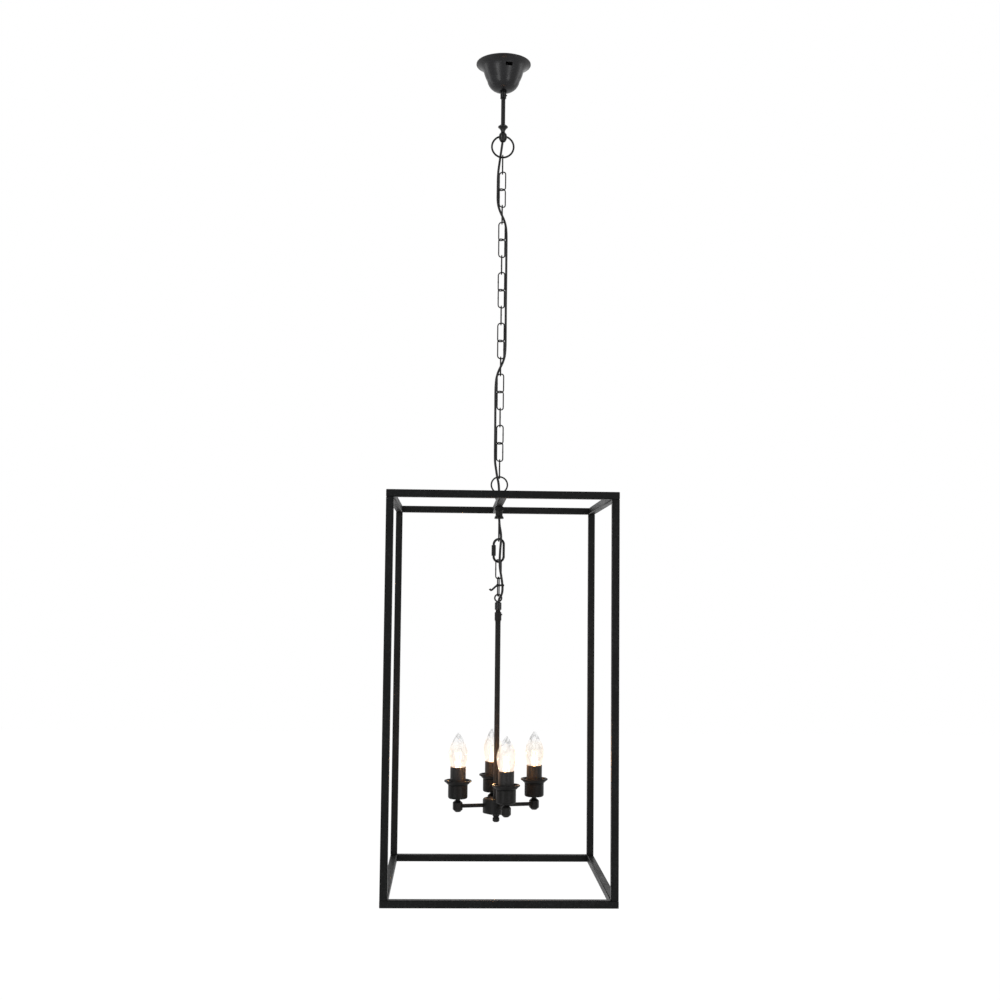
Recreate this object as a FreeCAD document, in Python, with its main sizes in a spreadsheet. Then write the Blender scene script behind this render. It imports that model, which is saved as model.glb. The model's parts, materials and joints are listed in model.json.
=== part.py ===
import FreeCAD, Part
import math
import os
from types import SimpleNamespace

import Sketcher

# A square lantern pendant: ceiling canopy, stem, chain with its flex, an open tube frame and, hung
# inside the frame on a short chain of its own, a rod that carries four candle lamps.
# Millimetres. +Z is up, the origin lies on the ceiling in the middle of the canopy, and the view of
# the front is along +Y. A "drop" is a distance below the ceiling.

os.makedirs("parts", exist_ok=True)
doc = FreeCAD.newDocument("lantern_pendant")
Vector = FreeCAD.Vector
Z_AXIS = Vector(0, 0, 1)

# ---------------------------------------------------------------- driving dimensions

DIMENSIONS = {
    # ceiling bracket, stem and its nuts
    "strap_span": 88,
    "strap_width": 14,
    "strap_thickness": 1.5,
    "strap_drop": 14,
    "strap_step": 50,
    "screw_spacing": 70,
    "screw_hole": 4.5,
    "stem_diameter": 8,
    "stem_bore": 5.2,
    "stem_top_drop": 9,
    "stem_length": 109.5,
    "nut_flats": 13,
    "nut_height": 4,
    "block_width": 26,
    "block_depth": 11,
    "block_height": 13,
    "block_drop": 15,
    "pole_spacing": 8,
    "terminal_screw": 3,
    "fit_gap": 0.05,
    # canopy
    "canopy_diameter": 104,
    "canopy_rim": 1.6,
    "canopy_depth": 54,
    "canopy_wall": 1,
    "waist_radius": 38,
    "waist_drop": 14.5,
    "bell_radius": 31,
    "bell_drop": 33,
    "foot_radius": 9,
    "flare_curve": 24,
    "bell_curve": 70,
    "foot_curve": 25,
    "slot_width": 13.5,
    "slot_height": 6,
    "slot_drop": 14,
    "slot_turn": 14,
    "collar_diameter": 11.4,
    "collar_flange": 15,
    "collar_height": 13.5,
    "grub_screw": 3,
    "grub_proud": 1.6,
    # turned knob and hollow bead at the end of the stem
    "knob_radius": 9.5,
    "knob_height": 13,
    "knob_rim": 3.6,
    "knob_rim_drop": 3.2,
    "knob_rim_curve": 1.85,
    "knob_top_curve": 8,
    "knob_cone_curve": 16,
    "neck_radius": 4,
    "neck_length": 2.5,
    "bead_radius": 8,
    "bead_height": 18,
    "bead_belly": 6,
    "bead_foot": 4.8,
    "bead_wall": 0.9,
    "bead_top_curve": 14,
    "bead_foot_curve": 16,
    "bead_hole": 7.2,
    "ring_drop": 141.5,
    "ring_outer": 45,
    "ring_wire": 3.6,
    # chain
    "link_count": 19,
    "link_length": 37.4,
    "link_width": 16,
    "link_wire": 2.4,
    "link_corner": 5,
    "link_gap": 0.25,
    "link_twist": 60,
    "flex_diameter": 4.4,
    # lantern frame
    "frame_width": 400,
    "frame_height": 700,
    "tube": 13,
    "tube_wall": 1.2,
    "eye_outer": 33,
    "eye_wire": 3,
    "eye_height": 27.4,
    "eye_boss": 12,
    "shank_diameter": 10,
    "shank_gap": 0.2,
    "eye_nut_flats": 15,
    "eye_nut_height": 8,
    "hook_collar_diameter": 10.8,
    "hook_collar_lip": 17,
    "hook_collar_height": 15,
    "loop_wire": 2.6,
    "loop_width": 13.6,
    "loop_reach": 43,
    # quick link and the inner chain
    "quick_wire": 4.5,
    "quick_length": 46.5,
    "quick_width": 24,
    "quick_turn": 160,
    "quick_nut_flats": 7.2,
    "quick_nut_length": 20,
    # cluster of lamps
    "rod_eye_outer": 16,
    "rod_eye_wire": 3,
    "rod_eye_boss": 9,
    "rod_collar_diameter": 12.6,
    "rod_neck_diameter": 9,
    "upper_collar_height": 15.5,
    "rod_neck_height": 4,
    "lower_collar_height": 18,
    "rod_diameter": 10,
    "rod_bore": 7.6,
    "rod_length": 379.5,
    "hub_diameter": 49,
    "hub_height": 25,
    "hub_wall": 1.4,
    "hub_round": 3.5,
    "hub_dome": 5,
    "finial_diameter": 12.6,
    "finial_height": 13,
    "lamp_radius": 72,
    "lamp_turn": 12,
    "back_lamp_lag": 8,
    "arm_diameter": 7,
    "elbow_width": 16.6,
    "elbow_height": 20.8,
    "elbow_chamfer": 4.2,
    "nipple_diameter": 10,
    "nipple_height": 4,
    "cup_diameter": 35.5,
    "cup_height": 24,
    "cup_wall": 1.2,
    "cup_round": 3.5,
    "tray_diameter": 45.4,
    "tray_rise": 6,
    "tray_wall": 1,
    "tray_lip": 3,
    "tray_curve": 16,
    "sleeve_diameter": 28.4,
    "sleeve_wall": 1.2,
    "sleeve_height": 34,
    "holder_diameter": 22,
    "holder_height": 40,
    "cap_diameter": 13.6,
    "cap_height": 22,
    "bulb_diameter": 34.4,
    "bulb_height": 77.5,
    "bulb_wall": 0.9,
    "bulb_neck_radius": 10.8,
    "bulb_neck_height": 12,
    "bulb_side_curve": 70,
    "bulb_belly_curve": 40,
    "bulb_tip_curve": 60,
    "stem_glass_height": 12,
    "filament_length": 30,
    "filament_diameter": 1.4,
    "filament_circle": 4.4,
}


class Size:
    """A number that keeps the expression that it was worked out from."""

    def __init__(self, value, text):
        self.value = float(value)
        self.text = text

    def __add__(self, other):
        other = size_of(other)
        return Size(self.value + other.value, f"({self.text} + {other.text})")

    def __sub__(self, other):
        other = size_of(other)
        return Size(self.value - other.value, f"({self.text} - {other.text})")

    def __mul__(self, other):
        other = size_of(other)
        return Size(self.value * other.value, f"({self.text} * {other.text})")

    def __truediv__(self, other):
        other = size_of(other)
        return Size(self.value / other.value, f"({self.text} / {other.text})")

    def __radd__(self, other):
        return size_of(other) + self

    def __rsub__(self, other):
        return size_of(other) - self

    def __rmul__(self, other):
        return size_of(other) * self

    def __neg__(self):
        return Size(-self.value, f"(-{self.text})")


def size_of(thing):
    return thing if isinstance(thing, Size) else Size(thing, repr(float(thing)))


def make_sheet():
    sheet = doc.addObject("Spreadsheet::Sheet", "Sizes")
    for row, (alias, number) in enumerate(DIMENSIONS.items(), 1):
        sheet.set(f"A{row}", alias)
        sheet.set(f"B{row}", str(number))
        sheet.setAlias(f"B{row}", alias)
    doc.recompute()
    return SimpleNamespace(**{alias: Size(sheet.get(alias), f"Sizes.{alias}") for alias in DIMENSIONS})


D = make_sheet()
levels = doc.addObject("App::FeaturePython", "Levels")
parts = []


def level(name, size):
    """A height that several pieces share, kept as a property that the sheet drives."""
    size = size_of(size)
    levels.addProperty("App::PropertyFloat", name)
    levels.setExpression(name, size.text)
    return Size(size.value, f"Levels.{name}")


# ---------------------------------------------------------------- small builders


def place(thing, x=0, y=0, z=0, turn=0, axis=Z_AXIS):
    """Puts a piece at x, y, z, turned about an axis through its own origin."""
    x, y, z, turn = map(size_of, (x, y, z, turn))
    spot = Vector(x.value, y.value, z.value)
    thing.Placement = FreeCAD.Placement(spot, FreeCAD.Rotation(axis, turn.value))
    for name, size in (("x", x), ("y", y), ("z", z)):
        thing.setExpression(f"Placement.Base.{name}", size.text)
    if turn.text != "0.0":
        thing.setExpression("Placement.Rotation.Angle", turn.text)
    return thing


def keep(thing, label):
    thing.Label = label
    parts.append(thing)
    return thing


def new_body(name, **spot):
    return place(doc.addObject("PartDesign::Body", name), **spot)


def origin_plane(body, role):
    return next(plane for plane in body.Origin.OriginFeatures if plane.Role == role)


def new_sketch(body, role, height=0):
    """An empty sketch on one of the body's own planes, or parallel to it at a height."""
    sketch = body.newObject("Sketcher::SketchObject", "outline")
    sketch.AttachmentSupport = [(origin_plane(body, role), "")]
    sketch.MapMode = "FlatFace"
    height = size_of(height)
    sketch.AttachmentOffset = FreeCAD.Placement(Vector(0, 0, height.value), FreeCAD.Rotation())
    sketch.setExpression("AttachmentOffset.Base.z", height.text)
    return sketch


def pin_point(sketch, geometry, end, point):
    """Holds one end of a line, or a circle's centre, at its two distances from the sketch's origin."""
    for kind, axis, size in (("DistanceX", -2, point[0]), ("DistanceY", -1, point[1])):
        size = size_of(size)
        if size.text in ("0.0", "-0.0"):
            sketch.addConstraint(Sketcher.Constraint("PointOnObject", geometry, end, axis))
        else:
            index = sketch.addConstraint(Sketcher.Constraint(kind, -1, 1, geometry, end, size.value))
            sketch.setExpression(f"Constraints[{index}]", size.text)


def arc_between(start, finish, radius, side):
    """The short arc from start to finish whose centre is to the left (side 1) or the right (-1)."""
    chord = finish - start
    normal = Vector(-chord.y, chord.x, 0).normalize() * side
    reach = math.sqrt(radius**2 - (chord.Length / 2) ** 2)
    centre = (start + finish) / 2 + normal * reach
    return Part.Arc(start, centre - normal * radius, finish)


def draw_outline(sketch, points, arcs=None, closed=True):
    """Lines through the points. arcs maps the index of a stretch to its radius and centre side."""
    arcs = arcs or {}
    spots = [Vector(size_of(x).value, size_of(y).value, 0) for x, y in points]
    stretches = len(points) if closed else len(points) - 1
    first_ends = []
    last_ends = []
    for index in range(stretches):
        start = spots[index]
        finish = spots[(index + 1) % len(spots)]
        if index in arcs:
            radius, side = arcs[index]
            geometry = sketch.addGeometry(arc_between(start, finish, size_of(radius).value, side))
            limit = sketch.addConstraint(Sketcher.Constraint("Radius", geometry, size_of(radius).value))
            sketch.setExpression(f"Constraints[{limit}]", size_of(radius).text)
        else:
            geometry = sketch.addGeometry(Part.LineSegment(start, finish))
        forward = (sketch.getPoint(geometry, 1) - start).Length < 1e-6
        first_ends.append((geometry, 1 if forward else 2))
        last_ends.append((geometry, 2 if forward else 1))
    for index in range(stretches):
        pin_point(sketch, *first_ends[index], points[index])
        if closed or index < stretches - 1:
            following = first_ends[(index + 1) % stretches]
            sketch.addConstraint(Sketcher.Constraint("Coincident", *last_ends[index], *following))
    if not closed:
        pin_point(sketch, *last_ends[-1], points[-1])
    return sketch


def draw_circle(sketch, radius, x=0, y=0):
    x, y, radius = map(size_of, (x, y, radius))
    circle = Part.Circle(Vector(x.value, y.value, 0), Z_AXIS, radius.value)
    geometry = sketch.addGeometry(circle)
    limit = sketch.addConstraint(Sketcher.Constraint("Radius", geometry, radius.value))
    sketch.setExpression(f"Constraints[{limit}]", radius.text)
    pin_point(sketch, geometry, 3, (x, y))
    return sketch


def revolve(body, points, arcs=None, kind="PartDesign::Revolution"):
    """Turns an outline of (radius, height) points about the body's own Z axis."""
    feature = body.newObject(kind, "turned")
    feature.Profile = draw_outline(new_sketch(body, "XZ_Plane"), points, arcs)
    feature.ReferenceAxis = (feature.Profile[0], ["V_Axis"])
    feature.Angle = 360
    return feature


def extrude(body, sketch, length, kind="PartDesign::Pad", both_ways=False, backwards=False):
    feature = body.newObject(kind, "extruded")
    feature.Profile = sketch
    feature.Length = size_of(length).value
    feature.setExpression("Length", size_of(length).text)
    feature.Midplane = both_ways
    feature.Reversed = backwards
    return feature


def pipe(body, path, edges, profile):
    feature = body.newObject("PartDesign::AdditivePipe", "bent_wire")
    feature.Profile = profile
    feature.Spine = (path, [f"Edge{number + 1}" for number in range(edges)])
    return feature


def rounded_path(body, role, half_width, half_length, corner):
    """A closed rounded rectangle, drawn from its lower left corner, or a racetrack."""
    path = new_sketch(body, role)
    side = half_width - corner
    end = half_length - corner
    points = [
        (-side, -half_length), (side, -half_length), (half_width, -end), (half_width, end),
        (side, half_length), (-side, half_length), (-half_width, end), (-half_width, -end),
    ]
    return draw_outline(path, points, {1: (corner, 1), 3: (corner, 1), 5: (corner, 1), 7: (corner, 1)})


def turned(name, points, arcs=None, **spot):
    body = new_body(name, **spot)
    revolve(body, points, arcs)
    return body


def tube_outline(bore, outer, low, high):
    return [(bore, low), (outer, low), (outer, high), (bore, high)]


def copies_around(label, source, angles, z=0):
    """One node of equal solids, turned about the middle of the object by the angles."""
    links = []
    for angle in angles:
        link = doc.addObject("App::Link", f"{source.Name}_copy")
        link.LinkedObject = source
        link.LinkTransform = True
        links.append(place(link, z=z, turn=angle))
    group = doc.addObject("Part::Compound", label)
    group.Links = links
    return keep(group, label)


def hexagon(sketch, flats):
    """A nut's outline, with two flats square to the sketch's X axis."""
    half = size_of(flats) / 2
    point = size_of(flats) / math.sqrt(3)
    corners = [
        (half, -point / 2), (half, point / 2), (0, point),
        (-half, point / 2), (-half, -point / 2), (0, -point),
    ]
    return draw_outline(sketch, corners)


def hex_nut(name, flats, height, bore, **spot):
    """A nut that stands on its own origin, with the corners of both ends eased."""
    body = new_body(name, **spot)
    extrude(body, hexagon(new_sketch(body, "XY_Plane"), flats), height)
    ease = size_of(flats) / 12
    wide = size_of(flats) * 0.62
    slim = size_of(flats) / 2
    for low, high in ((size_of(0), ease), (size_of(height), size_of(height) - ease)):
        revolve(body, [(slim, low), (wide, low), (wide, high)], kind="PartDesign::Groove")
    extrude(body, draw_circle(new_sketch(body, "XY_Plane"), bore), height, "PartDesign::Pocket",
            backwards=True)
    return body


# ---------------------------------------------------------------- heights

wire_r = D.link_wire / 2
link_run = D.link_length - D.link_wire
pitch = level("pitch", link_run - D.link_wire - D.link_gap)
ring_bottom = level("ring_bottom", D.ring_drop + D.ring_outer - D.ring_wire)
first_link_top = level("first_link_top", ring_bottom - D.ring_wire / 2 - wire_r - D.link_gap)
chain_end = level("chain_end", first_link_top + link_run + pitch * (D.link_count - 1))
eye_radius = (D.eye_outer - D.eye_wire) / 2
eye_middle = level("eye_middle", chain_end - wire_r - D.eye_wire / 2 - D.link_gap + eye_radius)
frame_top = level("frame_top", eye_middle + D.eye_height)
collar_top = level("collar_top", frame_top + D.tube + D.eye_nut_height)
collar_foot = level("collar_foot", collar_top + D.hook_collar_height)
loop_end = level("loop_end", collar_foot + D.loop_reach - D.loop_wire / 2)
quick_top = level("quick_top", loop_end - D.loop_wire / 2 - D.quick_wire / 2 - D.link_gap)
quick_end = level("quick_end", quick_top + D.quick_length - D.quick_wire)
inner_top = level("inner_top", quick_end - D.quick_wire / 2 - wire_r - D.link_gap)
inner_end = level("inner_end", inner_top + link_run + pitch)
rod_eye_radius = (D.rod_eye_outer - D.rod_eye_wire) / 2
rod_eye_middle = level("rod_eye_middle",
                       inner_end - wire_r - D.rod_eye_wire / 2 - D.link_gap + rod_eye_radius)
rod_loop_foot = level("rod_loop_foot", rod_eye_middle + rod_eye_radius + D.upper_collar_height)
lower_collar_top = level("lower_collar_top", rod_loop_foot + D.rod_neck_height)
rod_end = level("rod_end", rod_loop_foot + D.rod_length)
hub_foot = level("hub_foot", rod_end - D.hub_dome - D.finial_height / 2)
arm_drop = level("arm_drop", hub_foot - D.hub_height / 2)
cup_foot = level("cup_foot", arm_drop - D.elbow_height / 2 - D.nipple_height + 1)
lamp_angles = [
    D.lamp_turn,
    D.lamp_turn + 90 - D.back_lamp_lag,
    D.lamp_turn + 180,
    D.lamp_turn + 270,
]
quarter_turns = [0, 90, 180, 270]

# ---------------------------------------------------------------- ceiling bracket, stem and terminal block


def make_bracket():
    """A strap with a dropped middle, a tongue for the terminal block and two screw holes."""
    body = new_body("bracket")
    end = D.strap_span / 2
    step = D.strap_step / 2
    thick = D.strap_thickness
    outline = [
        (-end, 0), (-step, 0), (-step, -D.strap_drop), (step, -D.strap_drop), (step, 0), (end, 0),
        (end, -thick), (step + thick, -thick), (step + thick, -D.strap_drop - thick),
        (-step - thick, -D.strap_drop - thick), (-step - thick, -thick), (-end, -thick),
    ]
    profile = draw_outline(new_sketch(body, "XZ_Plane"), outline)
    extrude(body, profile, D.strap_width, both_ways=True)
    tongue = new_sketch(body, "XZ_Plane", -D.strap_width / 2)
    half = D.pole_spacing
    low = -D.block_drop - D.block_height
    draw_outline(tongue, [(-half, low), (half, low), (half, -D.strap_drop), (-half, -D.strap_drop)])
    extrude(body, tongue, thick, backwards=True)
    for x, across in ((-D.screw_spacing / 2, D.screw_hole), (D.screw_spacing / 2, D.screw_hole),
                      (0, D.stem_diameter + D.shank_gap * 2)):
        hole = draw_circle(new_sketch(body, "XY_Plane"), across / 2, x)
        extrude(body, hole, D.strap_drop + thick * 2, "PartDesign::Pocket")
    keep(body, "ceiling_bracket")


def make_terminal_block():
    """Three joined poles with a wire way up each and two screws in the outer face of each."""
    front = D.strap_width / 2 + D.strap_thickness
    body = new_body("block", y=front, z=-D.block_drop - D.block_height)
    half = D.block_width / 2
    depth = D.block_depth
    notch = depth / 5
    gap = D.pole_spacing / 2
    outline = [(-half, 0), (half, 0), (half, depth)]
    for middle in (gap, -gap):
        outline += [(middle + notch / 2, depth), (middle, depth - notch), (middle - notch / 2, depth)]
    outline += [(-half, depth)]
    extrude(body, draw_outline(new_sketch(body, "XY_Plane"), outline), D.block_height)
    for pole in (-1, 0, 1):
        way = draw_circle(new_sketch(body, "XY_Plane"), D.terminal_screw / 2, D.pole_spacing * pole, depth / 2)
        extrude(body, way, D.block_height / 3, "PartDesign::Pocket", backwards=True)
        for share in (0.25, 0.75):
            seat = new_sketch(body, "XZ_Plane", -depth)
            draw_circle(seat, D.terminal_screw / 2 + D.fit_gap, D.pole_spacing * pole, D.block_height * share)
            extrude(body, seat, depth / 3, "PartDesign::Pocket", backwards=True)
    keep(body, "terminal_block")

    screw = new_body("terminal_screw")
    extrude(screw, draw_circle(new_sketch(screw, "XZ_Plane"), D.terminal_screw / 2), depth / 3 - 0.5)
    links = []
    for pole in (-1, 0, 1):
        for share in (0.25, 0.75):
            link = doc.addObject("App::Link", "terminal_screw_copy")
            link.LinkedObject = screw
            x = D.pole_spacing * pole
            z = D.block_height * share - D.block_drop - D.block_height
            links.append(place(link, x=x, y=front + depth - 0.5, z=z))
    group = doc.addObject("Part::Compound", "terminal_screws")
    group.Links = links
    keep(group, "terminal_screws")


def make_stem():
    low = -D.stem_top_drop - D.stem_length
    outline = tube_outline(D.stem_bore / 2, D.stem_diameter / 2, low, -D.stem_top_drop)
    keep(turned("stem", outline), "canopy_stem")
    nut = hex_nut("stem_nut", D.nut_flats, D.nut_height, D.stem_diameter / 2 + D.fit_gap)
    links = []
    for z in (-D.strap_drop, -D.strap_drop - D.strap_thickness - D.nut_height):
        link = doc.addObject("App::Link", "stem_nut_copy")
        link.LinkedObject = nut
        links.append(place(link, z=z, turn=90))
    group = doc.addObject("Part::Compound", "stem_locknuts")
    group.Links = links
    keep(group, "stem_locknuts")


def make_ring_bead():
    """A turned knob, a neck and a hollow bead whose two side holes hold the top ring."""
    top = D.stem_top_drop + D.stem_length
    body = new_body("bead", z=-top)
    bore = D.stem_bore / 2
    edge = D.knob_radius - D.knob_rim * 0.4
    neck_foot = -D.knob_height - D.neck_length
    belly = neck_foot - D.bead_belly
    foot = neck_foot - D.bead_height
    wall = D.bead_wall
    outline = [
        (bore, 0), (D.stem_diameter / 2 + wall, 0), (edge, -D.knob_rim_drop),
        (edge, -D.knob_rim_drop - D.knob_rim), (D.neck_radius, -D.knob_height), (D.neck_radius, neck_foot),
        (D.bead_radius, belly), (D.bead_foot, foot), (D.bead_foot - wall, foot), (D.bead_radius - wall, belly),
        (D.neck_radius - wall, neck_foot), (bore, -D.knob_height),
    ]
    revolve(body, outline, {
        1: (D.knob_top_curve, 1), 2: (D.knob_rim_curve, -1), 3: (D.knob_cone_curve, 1),
        5: (D.bead_top_curve, -1), 6: (D.bead_foot_curve, -1),
        8: (D.bead_foot_curve - wall, 1), 9: (D.bead_top_curve - wall, 1),
    })
    cross = draw_circle(new_sketch(body, "YZ_Plane"), D.bead_hole / 2, 0, top - D.ring_drop)
    extrude(body, cross, D.bead_radius * 3, "PartDesign::Pocket", both_ways=True)
    keep(body, "ring_bead")


# ---------------------------------------------------------------- canopy


def make_canopy():
    """A spun bell with a flared rim, a slot near the rim, and a collar that a grub screw locks."""
    wall = D.canopy_wall
    rim = D.canopy_diameter / 2
    hole = D.stem_diameter / 2 + D.shank_gap
    body = new_body("cup")
    outline = [
        (rim, 0), (rim, -D.canopy_rim), (D.waist_radius, -D.waist_drop), (D.bell_radius, -D.bell_drop),
        (D.foot_radius, -D.canopy_depth), (hole, -D.canopy_depth), (hole, wall - D.canopy_depth),
        (D.foot_radius - wall / 2, wall - D.canopy_depth), (D.bell_radius - wall, wall / 2 - D.bell_drop),
        (D.waist_radius - wall, wall - D.waist_drop), (rim - wall, wall * 0.6 - D.canopy_rim), (rim - wall, 0),
    ]
    revolve(body, outline, {
        1: (D.flare_curve, 1), 2: (D.bell_curve, -1), 3: (D.foot_curve, -1),
        7: (D.foot_curve - wall, 1), 8: (D.bell_curve - wall, 1), 9: (D.flare_curve + wall, -1),
    })
    slot = doc.addObject("Part::Box", "slot")
    slot.setExpression("Length", D.slot_width.text)
    slot.setExpression("Width", rim.text)
    slot.setExpression("Height", D.slot_height.text)
    turn = doc.addObject("App::Link", "slot_turned")
    place(slot, x=-D.slot_width / 2, y=-rim, z=-D.slot_drop - D.slot_height / 2)
    turn.LinkedObject = slot
    turn.LinkTransform = True
    place(turn, turn=D.slot_turn)
    cup = doc.addObject("Part::Cut", "canopy_cup")
    cup.Base = body
    cup.Tool = turn
    keep(cup, "canopy_cup")

    bore = D.stem_diameter / 2 + D.fit_gap
    flange = D.collar_height * 0.12
    outline = [
        (bore, 0), (D.collar_flange / 2, 0), (D.collar_flange / 2, -flange), (D.collar_diameter / 2, -flange),
        (D.collar_diameter / 2, -D.collar_height), (bore, -D.collar_height),
    ]
    collar = turned("collar", outline, z=-D.canopy_depth)
    seat = draw_circle(new_sketch(collar, "YZ_Plane"), D.grub_screw / 2, 0, -D.collar_height * 0.55)
    extrude(collar, seat, D.collar_diameter, "PartDesign::Pocket", backwards=True)
    keep(collar, "canopy_collar")
    keep(make_grub("canopy_grub", bore, D.collar_diameter / 2 + D.grub_proud,
                   D.canopy_depth + D.collar_height * 0.55), "canopy_grub_screw")


def make_grub(name, start, finish, drop):
    """A slotted screw that lies along +X, from just outside a shaft to beyond its collar."""
    body = new_body(name, x=start, z=-drop)
    length = finish - start
    extrude(body, draw_circle(new_sketch(body, "YZ_Plane"), D.grub_screw / 2 - D.fit_gap), length)
    slot = new_sketch(body, "YZ_Plane", length)
    half = D.grub_screw / 10
    wide = D.grub_screw
    draw_outline(slot, [(-wide, -half), (wide, -half), (wide, half), (-wide, half)])
    extrude(body, slot, D.grub_screw / 3, "PartDesign::Pocket")
    return body


# ---------------------------------------------------------------- ring, chain and flex


def make_top_ring():
    body = new_body("ring", z=-(D.ring_drop + ring_bottom) / 2)
    radius = (D.ring_outer - D.ring_wire) / 2
    path = draw_circle(new_sketch(body, "XZ_Plane"), radius)
    pipe(body, path, 1, draw_circle(new_sketch(body, "YZ_Plane"), D.ring_wire / 2, 0, radius))
    keep(body, "top_ring")


def make_link(label, top, turn):
    """A welded link of round wire: a rounded rectangle that stands in its own XZ plane."""
    body = new_body("link", z=-(top + link_run / 2), turn=turn)
    half_width = (D.link_width - D.link_wire) / 2
    path = rounded_path(body, "XZ_Plane", half_width, link_run / 2, D.link_corner)
    pipe(body, path, 8, draw_circle(new_sketch(body, "XY_Plane"), wire_r, half_width))
    keep(body, label)


def make_chain():
    for index in range(round(D.link_count.value)):
        make_link(f"chain_link_{index + 1:02d}", first_link_top + pitch * index, 90 + D.link_twist * index)


def bent_path(points):
    """Straight runs through the points, joined by tangent arcs as large as the shorter run allows."""
    edges = []
    radii = []
    start = points[0]
    for before, corner, after in zip(points, points[1:], points[2:]):
        inward = (before - corner).normalize()
        outward = (after - corner).normalize()
        half_turn = (math.pi - inward.getAngle(outward)) / 2
        reach = 0.45 * min(before.distanceToPoint(corner), after.distanceToPoint(corner))
        radius = reach / math.tan(half_turn)
        first = corner + inward * reach
        last = corner + outward * reach
        bisector = (inward + outward).normalize()
        middle = corner + bisector * (radius / math.cos(half_turn) - radius)
        edges.append(Part.LineSegment(start, first).toShape())
        edges.append(Part.Arc(first, middle, last).toShape())
        radii.append(round(radius, 1))
        start = last
    edges.append(Part.LineSegment(start, points[-1]).toShape())
    return Part.Wire(edges), radii


# Where the flex runs: offsets from the chain in x and y, and how many links down. It leaves the
# bead behind the top ring, goes through the link that stands edge-on where it changes sides, and
# ends in the bore of the frame's eye.
FLEX_BESIDE_CHAIN = [
    (-4.6, 4.8, 0.0), (-8.0, 0.6, 0.8), (-8.8, 0.0, 1.3), (-8.8, 0.4, 2.0), (-8.9, 0.2, 2.75),
    (-4.0, 1.3, 3.25), (4.6, 1.3, 3.75), (8.9, 1.0, 4.35), (8.8, -0.3, 5.6), (8.9, 0.3, 7.2),
    (8.7, -0.3, 8.7), (8.9, 0.3, 10.3), (9.0, -0.3, 11.7), (4.0, -1.3, 12.25), (-4.6, -1.3, 12.75),
    (-9.2, -1.0, 13.35), (-9.0, 0.3, 14.8), (-8.8, -0.3, 16.2), (-8.9, 0.6, 17.5), (-8.6, 0.2, 18.05),
    (-6.4, -3.6, 18.5),
]


def make_flex():
    """The round flex, from the terminal block through stem and chain into the lamps' rod."""
    block_top = -D.block_drop.value
    block_y = (D.strap_width / 2 + D.strap_thickness + D.block_depth / 2).value
    bend = block_y / 2
    above = -D.stem_top_drop.value + bend * 0.95
    chain_top = -ring_bottom.value
    step = pitch.value
    route = [
        Vector(0, block_y, block_top),
        Vector(0, block_y, above),
        Vector(0, 0, above),
        Vector(0, 0, -D.ring_drop.value + 7.6),
        Vector(0, 5.3, -D.ring_drop.value + 0.3),
        Vector(-0.2, 0.9, -D.ring_drop.value - 9),
    ]
    for x, y, links_down in FLEX_BESIDE_CHAIN:
        route.append(Vector(x, y, chain_top - step * links_down))
    route += [
        Vector(-4.6, -4.9, -eye_middle.value + eye_radius.value),
        Vector(0, 0, -eye_middle.value - 3),
        Vector(0, 0, -collar_foot.value - 8),
    ]
    route += inner_route()
    path, radii = bent_path(route)
    print("flex radii", radii)
    flex_r = D.flex_diameter.value / 2
    section = Part.Wire(Part.makeCircle(flex_r, route[0], route[1] - route[0]))
    solid = path.makePipeShell([section], True, False)
    print("flex length", round(path.Length, 1), "volume share",
          round(solid.Volume / (math.pi * flex_r**2 * path.Length), 5))
    flex = doc.addObject("Part::Feature", "supply_flex")
    flex.Shape = solid
    keep(flex, "supply_flex")


def inner_route():
    """In front of the quick link, beside the two inner links, then into the rod's eye from the right."""
    return [
        Vector(3.6, -3.6, -quick_top.value + 13),
        Vector(4.2, -7.0, -quick_top.value - 1),
        Vector(2.4, -6.8, -quick_top.value - 20),
        Vector(1.4, -6.6, -quick_end.value - 8),
        Vector(5.8, -4.2, -inner_top.value - 34),
        Vector(8.2, -3.4, -inner_end.value + 14),
        Vector(6.2, -4.6, -inner_end.value + 1.5),
        Vector(0, 0, -rod_eye_middle.value - 2.7),
        Vector(0, 0, -rod_loop_foot.value),
    ]


# ---------------------------------------------------------------- lantern frame


def make_frame():
    """Two mitred squares of tube, four posts between them and a bar across the top square."""
    half = D.frame_width / 2
    inside = half - D.tube
    wall = D.tube_wall
    rail = new_body("rail")
    outline = [(-half, -half), (half, -half), (inside, -inside), (-inside, -inside)]
    extrude(rail, draw_outline(new_sketch(rail, "XY_Plane"), outline), D.tube, backwards=True)
    hollow = new_sketch(rail, "XY_Plane", -D.tube / 2)
    outline = [(-half, wall - half), (half, wall - half), (half, -inside - wall), (-half, -inside - wall)]
    extrude(rail, draw_outline(hollow, outline), D.tube - wall * 2, "PartDesign::Pocket", both_ways=True)
    copies_around("top_rails", rail, quarter_turns, -frame_top)
    copies_around("bottom_rails", rail, quarter_turns, D.tube - frame_top - D.frame_height)

    post = square_tube("post", "XY_Plane", D.frame_height - D.tube * 2)
    place(post, x=half - D.tube / 2, y=half - D.tube / 2)
    copies_around("corner_posts", post, quarter_turns, -frame_top - D.frame_height / 2)

    bar = square_tube("bar", "XZ_Plane", D.frame_width - D.tube * 2)
    place(bar, z=-frame_top - D.tube / 2)
    hole = draw_circle(new_sketch(bar, "XY_Plane"), D.shank_diameter / 2 + D.shank_gap)
    extrude(bar, hole, D.tube * 2, "PartDesign::Pocket", both_ways=True)
    keep(bar, "centre_bar")


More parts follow.
